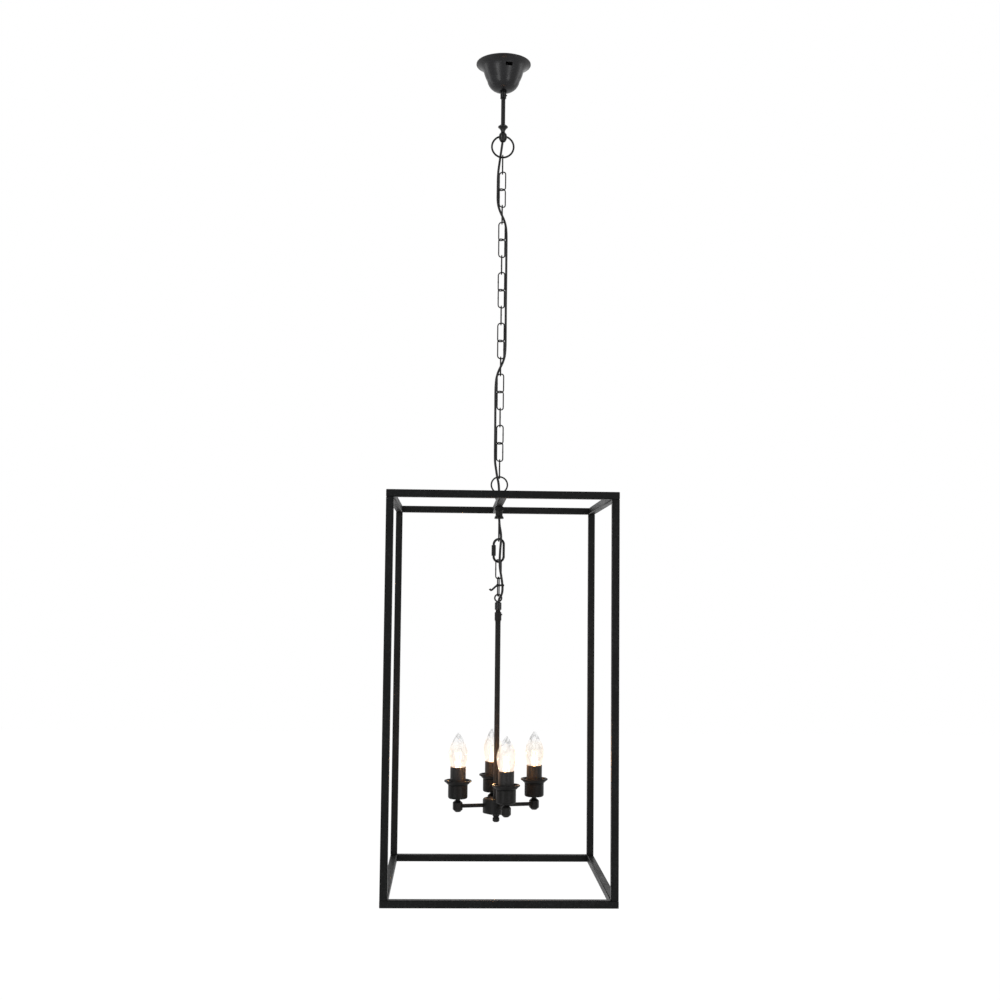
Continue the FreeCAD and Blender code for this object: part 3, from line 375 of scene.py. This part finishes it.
# finishes with soft clouds in their colour and gloss, over a fine grain
cloudySettings = {
    "flexCover": {
        "color": (0.0055, 0.0055, 0.0058), "second": (0.013, 0.013, 0.0135), "view": (0.05, 0.05, 0.05),
        "cloud": (220, 3, 0.6), "band": (0.35, 0.75), "rough": (0.42, 0.54),
        "grain": (480, 2, 0.5), "depth": 0.00004, "plain": {"Specular IOR Level": 0.2},
    },
    "terminalPlastic": {
        "color": (0.72, 0.71, 0.68), "second": (0.62, 0.61, 0.57),
        "cloud": (120, 3, 0.5), "band": (0.35, 0.7), "rough": (0.42, 0.52),
        "grain": (1400, 2, 0.5), "depth": 0.00001, "plain": {"Specular IOR Level": 0.5},
    },
    "holderPlastic": {
        "color": (0.022, 0.021, 0.02), "second": (0.035, 0.033, 0.031),
        "cloud": (120, 3, 0.5), "band": (0.35, 0.7), "rough": (0.4, 0.5),
        "grain": (1400, 2, 0.5), "depth": 0.00001, "plain": {"Specular IOR Level": 0.5},
    },
    "tieNylon": {
        "color": (0.003, 0.003, 0.003), "second": (0.006, 0.006, 0.006),
        "cloud": (120, 3, 0.5), "band": (0.35, 0.7), "rough": (0.45, 0.55),
        "grain": (1400, 2, 0.5), "depth": 0.00001, "plain": {"Specular IOR Level": 0.12},
    },
    "capBrass": {
        "color": (0.62, 0.47, 0.22), "second": (0.38, 0.27, 0.12),
        "cloud": (180, 4, 0.6), "band": (0.4, 0.8), "rough": (0.28, 0.43),
        "grain": (900, 2, 0.6), "depth": 0.00001, "plain": {"Metallic": 1.0},
    },
}


def cloudyFinish(name, settings):
    paint = Paint(name, settings.get("view", settings["color"]))
    cloud = paint.noise(*settings["cloud"])
    base = paint.blend(paint.between(cloud, *settings["band"]), settings["color"], settings["second"])
    rough = paint.between(cloud, 0.3, 0.7, *settings["rough"])
    normal = paint.bump(paint.noise(*settings["grain"]), settings["depth"])
    return paint.finish({"Base Color": base, "Roughness": rough, "Normal": normal, **settings["plain"]})


cloudy = {name: cloudyFinish(name, settings) for name, settings in cloudySettings.items()}

# the bulbs: lit low down, clear with faint streaks towards the tip; the streaks are painted darker towards
# the glass's silhouette, a painted shade along its edges
bulbSettings = {
    "glow": (1.0, 0.95, 0.86),
    "glowEdge": (1.0, 0.74, 0.5),
    "glowTop": -1.278,
    "glowFoot": -1.304,
    "clear": (0.004, 0.0036, 0.0033),
    "streak": (0.012, 0.0085, 0.006),
    "streakScale": (60, 60, 34),
    "streakWidth": (0.01, 0.036),
    "edgeBlend": 0.3,
    "clearCover": 0.02,
    "edgeCover": 0.2,
    "litCover": 0.32,
    "streakCover": 0.34,
    "glowPower": 0.98,
    "glassShine": 0.35,
    "filament": (1.0, 0.78, 0.5),
    "filamentTint": (1.0, 0.84, 0.58),
    "filamentPower": 1.15,
    "lampColor": (1.0, 0.47, 0.18),
    "lampPower": 1.5,
    "lampRadius": 0.008,
    "lampHeight": -1.318,
    "lampOut": 0.072,
    "lampAngles": (12, 94, 192, 282),
}


def bulbGlass(settings):
    # a ray passes four skins of glass, so each skin covers only a little
    paint = Paint("bulbGlass", settings["glow"])
    lit = paint.between(paint.height(), settings["glowFoot"], settings["glowTop"], 1.0, 0.0)
    edge = paint.node("ShaderNodeLayerWeight", values={"Blend": settings["edgeBlend"]}, out="Facing")
    flow = paint.noise(1.0, 2, 0.5, paint.stretched(settings["streakScale"]))
    # a streak runs where the noise crosses its middle value
    thin = paint.between((flow - 0.5).sum("ABSOLUTE", 0.0), *settings["streakWidth"], 1.0, 0.0)
    # the streaks grow darker towards the silhouette, which is painted shade along the glass's edges; they
    # fade where the glass glows
    streaksAndEdgeShade = thin * (edge * 0.7 + 0.4) * (1 - lit * 0.45)
    base = paint.blend(streaksAndEdgeShade, settings["clear"], settings["streak"])
    glow = paint.blend(edge, settings["glow"], settings["glowEdge"])
    shown = paint.blend((lit * 4).sum("MINIMUM", 1.0) * (1 - streaksAndEdgeShade), (0, 0, 0), glow)
    rim = edge * edge * settings["edgeCover"] + settings["clearCover"]
    cover = rim.sum("MAXIMUM", lit * settings["litCover"])
    cover = (cover + streaksAndEdgeShade * settings["streakCover"]).sum("MINIMUM", 1.0)
    return paint.finish({
        "Base Color": base, "Roughness": 0.05, "Alpha": cover, "Emission Color": shown,
        "Emission Strength": settings["glowPower"], "Specular IOR Level": settings["glassShine"],
    })


def litPhosphor(settings):
    paint = Paint("litPhosphor", settings["filament"])
    cloud = paint.noise(900, 2, 0.5)
    glow = paint.blend(paint.between(cloud, 0.3, 0.7), settings["filament"], settings["filamentTint"])
    return paint.finish({
        "Base Color": (0.9, 0.8, 0.6), "Roughness": 0.4, "Emission Color": glow,
        "Emission Strength": settings["filamentPower"],
    })


def lightBulbs(settings):
    # a small warm lamp in each bulb; it hangs on the cluster and swings with it
    for number, angle in enumerate(settings["lampAngles"], 1):
        data = bpy.data.lights.new(f"warmLamp{number}", "POINT")
        data.energy = settings["lampPower"]
        data.shadow_soft_size = settings["lampRadius"]
        data.color = settings["lampColor"]
        light = bpy.data.objects.new(f"warmLamp{number}", data)
        bpy.context.scene.collection.objects.link(light)
        turn = math.radians(angle)
        light.location = (settings["lampOut"] * math.cos(turn), settings["lampOut"] * math.sin(turn),
                          settings["lampHeight"])
        light.parent = frame["bodies"]["candle_cluster"]


bulbFinish = bulbGlass(bulbSettings)
phosphor = litPhosphor(bulbSettings)
lightBulbs(bulbSettings)
print("finishes ready")

# which finish each part of the frame wears
finishOf = {
    "frameCoat": ["corner_posts", "top_rails", "bottom_rails", "centre_bar"],
    "canopyCoat": ["canopy_cup"],
    "stemCoat": ["canopy_collar", "canopy_grub_screw", "canopy_stem"],
    "knobCoat": ["ring_bead", "rod_eye"],
    "chainCoat": ["top_ring", "frame_eye", "eye_locknut", "hook_collar", "lower_loop", "quick_link",
                  "quick_link_sleeve", "inner_link_1", "inner_link_2"]
                 + [f"chain_link_{number:02d}" for number in range(1, 20)],
    "clusterCoat": ["cluster_rod", "rod_collar", "rod_grub_screw", "hub_cup", "hub_plate",
                    "hub_finial", "arms", "arm_elbows", "candle_cups", "drip_trays"],
    "sleeveCoat": ["candle_sleeves"],
}


def dress(name, material):
    mesh = nodes[name].data
    mesh.materials.clear()
    mesh.materials.append(material)


for finish, names in finishOf.items():
    for name in names:
        dress(name, coats[finish])
for name in ("ceiling_bracket", "stem_locknuts", "terminal_screws"):
    dress(name, zinc)
dress("terminal_block", cloudy["terminalPlastic"])
dress("lampholders", cloudy["holderPlastic"])
dress("bulb_caps", cloudy["capBrass"])
dress("bulb_glasses", bulbFinish)
dress("bulb_filaments", phosphor)
print("frame dressed")

# the flex: its route in millimetres, where besideChain counts the height in links down the chain
flexSettings = {
    "radius": 2.2 * mm,
    "sides": 16,
    "step": 1.6 * mm,
    "bendReach": 11 * mm,
    "pitch": 32.35,
    "ringBottom": 182.9,
    "head": [
        (0, 14.0, -15.0), (0, 14.0, -2.35), (0, 0, -2.35), (0, 0, -133.9), (0, 5.3, -141.2),
        (-0.2, 0.9, -150.5),
    ],
    "besideChain": [
        (-4.6, 4.8, 0.0), (-8.0, 0.6, 0.8), (-8.8, 0.0, 1.3), (-8.8, 0.4, 2.0), (-8.9, 0.2, 2.75),
        (-4.0, 1.3, 3.25), (4.6, 1.3, 3.75), (8.9, 1.0, 4.35), (8.8, -0.3, 5.6), (8.9, 0.3, 7.2),
        (8.7, -0.3, 8.7), (8.9, 0.3, 10.3), (9.0, -0.3, 11.7), (4.0, -1.3, 12.25), (-4.6, -1.3, 12.75),
        (-9.2, -1.0, 13.35), (-9.0, 0.3, 14.8), (-8.8, -0.3, 16.2), (-8.9, 0.6, 17.5), (-8.6, 0.2, 18.05),
        (-6.4, -3.6, 18.5),
    ],
    "tail": [
        (-4.6, -4.9, -794.0), (0, 0, -812.0), (0, 0, -880.4), (3.6, -3.6, -897.3), (4.2, -7.0, -911.3),
        (2.4, -6.8, -930.3), (1.4, -6.6, -960.3), (5.8, -4.2, -982.6), (8.2, -3.4, -1001.95),
        (6.2, -4.6, -1014.45), (0, 0, -1022.2), (0, 0, -1041.5),
    ],
}


def flexRoute(settings):
    route = list(settings["head"])
    for x, y, linksDown in settings["besideChain"]:
        route.append((x, y, -settings["ringBottom"] - settings["pitch"] * linksDown))
    route += settings["tail"]
    return [Vector(point) * mm for point in route]


def smoothLine(points):
    # the line that a NURBS spline takes through its control points
    curve = bpy.data.curves.new("flexLine", "CURVE")
    curve.dimensions = "3D"
    curve.resolution_u = 16
    spline = curve.splines.new("NURBS")
    spline.points.add(len(points) - 1)
    for point, place in zip(spline.points, points):
        point.co = (*place, 1)
    spline.order_u = 3
    spline.use_endpoint_u = True
    line = bpy.data.objects.new("flexLine", curve)
    bpy.context.scene.collection.objects.link(line)
    bpy.context.view_layer.update()
    mesh = bpy.data.meshes.new_from_object(line)
    places = [vertex.co.copy() for vertex in mesh.vertices]
    bpy.data.objects.remove(line)
    bpy.data.meshes.remove(mesh)
    return places


def evenSteps(places, step):
    even = [places[0]]
    for place in places[1:]:
        while (place - even[-1]).length > step:
            even.append(even[-1] + (place - even[-1]).normalized() * step)
    even.append(places[-1])
    return even


def carriedFrames(places):
    # a side vector for each place, carried along the line without twist
    side = Vector((1, 0, 0))
    frames = []
    for index, place in enumerate(places):
        ahead = places[min(index + 1, len(places) - 1)] - places[max(index - 1, 0)]
        ahead.normalize()
        side = (side - ahead * side.dot(ahead)).normalized()
        frames.append((place, side.copy(), ahead.cross(side)))
    return frames


def tubeMesh(name, frames, radius, sides):
    shape = bmesh.new()
    rings = []
    for place, across, over in frames:
        ring = []
        for number in range(sides):
            angle = math.tau * number / sides
            ring.append(shape.verts.new(place + (across * math.cos(angle) + over * math.sin(angle)) * radius))
        rings.append(ring)
    for first, second in zip(rings, rings[1:]):
        for number in range(sides):
            after = (number + 1) % sides
            face = shape.faces.new((first[number], first[after], second[after], second[number]))
            face.smooth = True
    shape.faces.new(list(reversed(rings[0])))
    shape.faces.new(rings[-1])
    return meshFrom(shape, name)


def meshFrom(shape, name):
    bmesh.ops.recalc_face_normals(shape, faces=shape.faces)
    mesh = bpy.data.meshes.new(name)
    shape.to_mesh(mesh)
    shape.free()
    return mesh


def newPiece(name, mesh, material):
    piece = bpy.data.objects.new(name, mesh)
    bpy.context.scene.collection.objects.link(piece)
    mesh.materials.clear()
    mesh.materials.append(material)
    return piece


def flexJoints():
    # the hinges that the flex passes, from the top down
    bends = []
    for joint in frame["joints"]:
        if joint.get("deforming_nodes"):
            bends.append((joint["parent"], joint["child"], joint["pos_m"][2]))
    return sorted(bends, key=lambda bend: -bend[2])


def makeFlex(settings):
    frames = carriedFrames(evenSteps(smoothLine(flexRoute(settings)), settings["step"]))
    bends = flexJoints()
    cuts = [0]
    for (_, _, upper), (_, _, lower) in zip(bends, bends[1:]):
        middle = (upper + lower) / 2
        cuts.append(max(index for index, spot in enumerate(frames) if spot[0].z >= middle))
    cuts.append(len(frames) - 1)
    for number, (parent, child, height) in enumerate(bends):
        part = frames[cuts[number]:cuts[number + 1] + 1]
        mesh = tubeMesh(f"flex_run_{number + 1:02d}", part, settings["radius"], settings["sides"])
        piece = newPiece(mesh.name, mesh, cloudy["flexCover"])
        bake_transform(piece)
        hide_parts("supply_flex")
    print("flex in", len(bends), "runs")


makeFlex(flexSettings)

# the frame: square tubes with rounded edges, mitred and welded at the corners
frameSettings = {
    "tube": 13 * mm,
    "corner": 1.35 * mm,
    "cornerSteps": 4,
    "width": 400 * mm,
    "height": 700 * mm,
    "top": -836.4 * mm,
    "seam": 0.1 * mm,
}


def squareOutline(settings):
    inner = settings["tube"] / 2 - settings["corner"]
    steps = settings["cornerSteps"]
    outline = []
    for quarter, (x, y) in enumerate([(1, 1), (-1, 1), (-1, -1), (1, -1)]):
        for step in range(steps + 1):
            angle = math.radians(90) * (quarter + step / steps)
            outline.append((x * inner + settings["corner"] * math.cos(angle),
                            y * inner + settings["corner"] * math.sin(angle)))
    return outline


def addTube(shape, settings, spotOf, turn):
    # spotOf gives the place of an outline point at the tube's first (-1) or last (1) end
    outline = squareOutline(settings)
    spin = Matrix.Rotation(math.radians(turn), 3, "Z")
    ends = [[shape.verts.new(spin @ Vector(spotOf(u, v, end))) for u, v in outline] for end in (-1, 1)]
    for number in range(len(outline)):
        after = (number + 1) % len(outline)
        face = shape.faces.new((ends[0][number], ends[0][after], ends[1][after], ends[1][number]))
        face.smooth = (number + 1) % (settings["cornerSteps"] + 1) != 0  # the flat sides stay flat
    for ring in ends:
        shape.faces.new(ring)


def makeFrame(settings):
    half = settings["width"] / 2
    middle = half - settings["tube"] / 2
    inside = half - settings["tube"]
    top = settings["top"] - settings["tube"] / 2
    low = settings["top"] - settings["height"] + settings["tube"] / 2
    seam = settings["seam"]
    postTop = settings["top"] - settings["tube"] - seam
    postLow = settings["top"] - settings["height"] + settings["tube"] + seam

    def railSpot(height):
        return lambda u, v, end: (end * (middle + u - seam), -middle - u, height + v)

    def postSpot(u, v, end):
        return (middle + u, middle + v, postTop if end > 0 else postLow)

    def barSpot(u, v, end):
        return (u, end * (inside - seam), top + v)

    quarters = (0, 90, 180, 270)
    for name, spotOf, turns in (
            ("top_rails", railSpot(top), quarters), ("bottom_rails", railSpot(low), quarters),
            ("corner_posts", postSpot, quarters), ("centre_bar", barSpot, (0,))):
        shape = bmesh.new()
        for turn in turns:
            addTube(shape, settings, spotOf, turn)
        piece = newPiece(f"{name}_rounded", meshFrom(shape, name), coats["frameCoat"])
        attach(piece, "lantern")
        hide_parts(name)


makeFrame(frameSettings)
print("frame tubes ready")

# the chain links: a rounded wire with a small weld on one long side
linkSettings = {
    "length": 37.4 * mm,
    "width": 16 * mm,
    "wire": 2.4 * mm,
    "corner": 5 * mm,
    "weld": 0.14,
    "weldReach": 2.2 * mm,
    "cornerPoints": 10,
    "pathPoints": 92,
    "wireSides": 14,
    "pitch": 32.35 * mm,
    "twist": 60,
    "outerTop": 179.65 * mm,
    "outerTurn": 90,
    "outerCount": 19,
    "innerTop": 948.6 * mm,
    "innerTurn": 220,
    "innerCount": 2,
}


def newGroup(name, inputs):
    # a geometry group whose inputs are plain numbers, each with its first value
    group = bpy.data.node_groups.new(name, "GeometryNodeTree")
    for key, value in inputs.items():
        group.interface.new_socket(key, in_out="INPUT", socket_type="NodeSocketFloat").default_value = value
    group.interface.new_socket("Geometry", in_out="OUTPUT", socket_type="NodeSocketGeometry")
    return group


def makeLinkTree(settings):
    sizes = ("length", "width", "wire", "corner", "weld", "weldReach")
    group = newGroup("chainLink", {**{key: settings[key] for key in sizes}, "drop": 0.0, "turn": 0.0})
    tree = Tree(group)
    given = tree.given
    wire = given("wire")
    box = tree.node("GeometryNodeCurvePrimitiveQuadrilateral", values={
        "Width": given("width") - wire, "Height": given("length") - wire})
    round4 = tree.node("GeometryNodeFilletCurve", {"mode": "POLY"}, {
        "Curve": box, "Count": settings["cornerPoints"], "Radius": given("corner")})
    path = tree.node("GeometryNodeResampleCurve", values={
        "Curve": round4, "Count": settings["pathPoints"]})
    spot = tree.node("GeometryNodeInputPosition")
    x, y = (tree.node("ShaderNodeSeparateXYZ", values={"Vector": spot}, out=name) for name in "XY")
    near = (1 - (y / given("weldReach")) * (y / given("weldReach"))).sum("MAXIMUM", 0.0)
    swell = 1 + given("weld") * near * x.sum("GREATER_THAN", 0.0)
    section = tree.node("GeometryNodeCurvePrimitiveCircle", values={
        "Resolution": settings["wireSides"], "Radius": wire * 0.5})
    tube = tree.node("GeometryNodeCurveToMesh", values={
        "Curve": path, "Profile Curve": section, "Scale": swell})
    upright = tree.node("GeometryNodeTransform", values={
        "Geometry": tube, "Rotation": (math.pi / 2, 0, 0)})
    turned = tree.node("GeometryNodeTransform", values={
        "Geometry": upright,
        "Rotation": tree.joined(Z=given("turn")),
        "Translation": tree.joined(Z=0 - given("drop")),
    })
    smooth = tree.node("GeometryNodeSetShadeSmooth", values={"Geometry": turned})
    tree.giveOut(smooth, coats["chainCoat"])
    return group


def grown(name, group, inputs):
    # a plain mesh of what the tree makes
    carrier = bpy.data.objects.new(name, bpy.data.meshes.new(name))
    bpy.context.scene.collection.objects.link(carrier)
    modifier = carrier.modifiers.new("grow", "NODES")
    modifier.node_group = group
    for item in group.interface.items_tree:
        if item.in_out == "INPUT" and item.name in inputs:
            modifier[item.identifier] = inputs[item.name]
    bpy.context.view_layer.update()
    mesh = bpy.data.meshes.new_from_object(carrier.evaluated_get(bpy.context.evaluated_depsgraph_get()))
    bpy.data.objects.remove(carrier)
    mesh.name = name
    return mesh


def makeLinks(settings):
    group = makeLinkTree(settings)
    middle = (settings["length"] - settings["wire"]) / 2
    for kind, label in (("outer", "chain_link_{:02d}"), ("inner", "inner_link_{}")):
        for number in range(settings[f"{kind}Count"]):
            node = label.format(number + 1)
            mesh = grown(f"{node}_welded", group, {
                "drop": settings[f"{kind}Top"] + settings["pitch"] * number + middle,
                "turn": math.radians(settings[f"{kind}Turn"] + settings["twist"] * number),
            })
            piece = newPiece(mesh.name, mesh, coats["chainCoat"])
            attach(piece, nodes[node]["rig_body"])
            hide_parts(node)


makeLinks(linkSettings)
print("links ready")

# the tie that holds the flex to the lower inner link: a strap, its head and a loose tail
tieSettings = {
    "drop": 996 * mm,
    "leg": (1.18 * mm, -6.70 * mm),
    "legRadius": 1.2 * mm,
    "clearance": 0.3 * mm,
    "thick": 0.9 * mm,
    "wide": 3.6 * mm,
    "roundEdge": 0.7,
    "head": (3.4 * mm, 3.6 * mm, 4.2 * mm),
    "headEdge": 0.5 * mm,
    "tail": [(-1.2, -8.3, -995.6), (-4.6, -8.9, -997.6), (-8.6, -9.1, -1001.4), (-12.2, -9.0, -1004.9),
             (-14.8, -8.7, -1005.4), (-16.2, -8.4, -1002.6)],
}


def strapMesh(shape, places, settings, closed):
    # a flat strap whose wide side stands upright across its path, its long edges rounded off
    edge = settings["roundEdge"]
    rings = []
    count = len(places)
    for index, place in enumerate(places):
        before = places[index - 1] if closed or index else place
        after = places[(index + 1) % count] if closed or index < count - 1 else place
        ahead = (after - before).normalized()
        across = Vector((ahead.y, -ahead.x, 0)).normalized() * settings["thick"] / 2
        over = ahead.cross(across).normalized() * settings["wide"] / 2
        corners = [across * edge + over, across + over * edge, across - over * edge, across * edge - over,
                   -across * edge - over, -across - over * edge, -across + over * edge, -across * edge + over]
        rings.append([shape.verts.new(place + corner) for corner in corners])
    pairs = list(zip(rings, rings[1:] + rings[:1])) if closed else list(zip(rings, rings[1:]))
    for first, second in pairs:
        for number in range(8):
            after = (number + 1) % 8
            shape.faces.new((first[number], first[after], second[after], second[number])).smooth = True
    if not closed:
        shape.faces.new(rings[0])
        shape.faces.new(rings[-1])


def beltRound(first, firstRadius, second, secondRadius, height, steps=14):
    # the path of a belt round two circles
    apart = second - first
    ahead = math.atan2(apart.y, apart.x)
    lean = math.acos((firstRadius - secondRadius) / apart.length)
    places = []
    for middle, radius, start, sweep in ((first, firstRadius, ahead + lean, math.tau - 2 * lean),
                                         (second, secondRadius, ahead - lean, 2 * lean)):
        for step in range(steps + 1):
            angle = start + sweep * step / steps
            places.append(Vector((
                middle.x + radius * math.cos(angle), middle.y + radius * math.sin(angle), height)))
    return places


def settledMesh(mesh):
    # corners and faces ordered by their places: a bevel leaves them in another order each run
    name = mesh.name
    order = sorted(range(len(mesh.vertices)), key=lambda index: tuple(mesh.vertices[index].co))
    rank = {old: new for new, old in enumerate(order)}
    faces = sorted(([rank[index] for index in polygon.vertices], polygon.use_smooth)
                   for polygon in mesh.polygons)
    settled = bpy.data.meshes.new(name)
    settled.from_pydata([mesh.vertices[index].co.copy() for index in order], [], [face for face, _ in faces])
    settled.polygons.foreach_set("use_smooth", [smooth for _, smooth in faces])
    bpy.data.meshes.remove(mesh)
    settled.name = name
    return settled


def makeTie(settings):
    line = smoothLine(flexRoute(flexSettings))
    flexSpot = min(line, key=lambda place: abs(place.z + settings["drop"]))
    leg = Vector(settings["leg"])
    flex = Vector((flexSpot.x, flexSpot.y))
    off = settings["clearance"] + settings["thick"] / 2
    shape = bmesh.new()
    belt = beltRound(leg, settings["legRadius"] + off, flex, flexSettings["radius"] + off, -settings["drop"])
    strapMesh(shape, belt, settings, True)
    outward = (leg - flex).normalized()
    middle = leg + outward * (settings["legRadius"] + off + settings["head"][0] / 2)
    box = bmesh.ops.create_cube(shape, size=1)["verts"]
    turn = Matrix.Rotation(math.atan2(outward.y, outward.x), 4, "Z")
    scale = Matrix.Diagonal((*settings["head"], 1))
    place = Matrix.Translation((middle.x, middle.y, -settings["drop"]))
    bmesh.ops.transform(shape, matrix=place @ turn @ scale, verts=box)
    edges = [edge for edge in shape.edges if all(corner in box for corner in edge.verts)]
    bmesh.ops.bevel(
        shape, geom=edges, offset=settings["headEdge"], segments=3, profile=0.5, affect="EDGES")
    tail = smoothLine([Vector(point) * mm for point in settings["tail"]])
    strapMesh(shape, tail, settings, False)
    mesh = settledMesh(meshFrom(shape, "flex_tie"))
    piece = newPiece("flex_tie", mesh, cloudy["tieNylon"])
    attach(piece, nodes["inner_link_2"]["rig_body"])


makeTie(tieSettings)

# the slotted screws of the terminal block
screwSettings = {
    "diameter": 3 * mm,
    "length": 3.17 * mm,
    "slotWide": 0.6 * mm,
    "slotDeep": 0.8 * mm,
    "spacing": 8 * mm,
    "rowGap": 6.5 * mm,
    "face": 19 * mm,
    "drop": 21.5 * mm,
    "slotTurn": math.radians(24),
}
screwSides = 24


def makeScrewTree(settings):
    group = newGroup("terminalScrews", settings)
    tree = Tree(group)
    given, joined = tree.given, tree.joined
    shank = tree.node("GeometryNodeMeshCylinder", values={
        "Vertices": screwSides, "Radius": given("diameter") * 0.5, "Depth": given("length")})
    cutter = tree.node("GeometryNodeMeshCube", values={
        "Size": joined(X=given("diameter") * 1.5, Y=given("slotWide"), Z=given("slotDeep") * 2)})
    raised = tree.node("GeometryNodeTransform", values={
        "Geometry": cutter, "Translation": joined(Z=given("length") * 0.5),
        "Rotation": joined(Z=given("slotTurn"))})
    slotted = tree.node("GeometryNodeMeshBoolean", {"operation": "DIFFERENCE"}, {
        "Mesh 1": shank, "Mesh 2": raised})
    grid = tree.node("GeometryNodeMeshGrid", values={
        "Size X": given("spacing") * 2, "Size Y": given("rowGap"), "Vertices X": 3, "Vertices Y": 2})
    placed = tree.node("GeometryNodeInstanceOnPoints", values={"Points": grid, "Instance": slotted})
    upright = tree.node("GeometryNodeTransform", values={
        "Geometry": placed, "Rotation": (-math.pi / 2, 0, 0),
        "Translation": joined(Y=given("face") - given("length") * 0.5, Z=0 - given("drop"))})
    tree.giveOut(upright, zinc)
    return group


def makeScrews(settings):
    mesh = grown("terminal_screws_slotted", makeScrewTree(settings), settings)
    piece = newPiece(mesh.name, mesh, zinc)
    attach(piece, nodes["terminal_screws"]["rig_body"])
    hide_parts("terminal_screws")


makeScrews(screwSettings)
print("tie and screws ready")
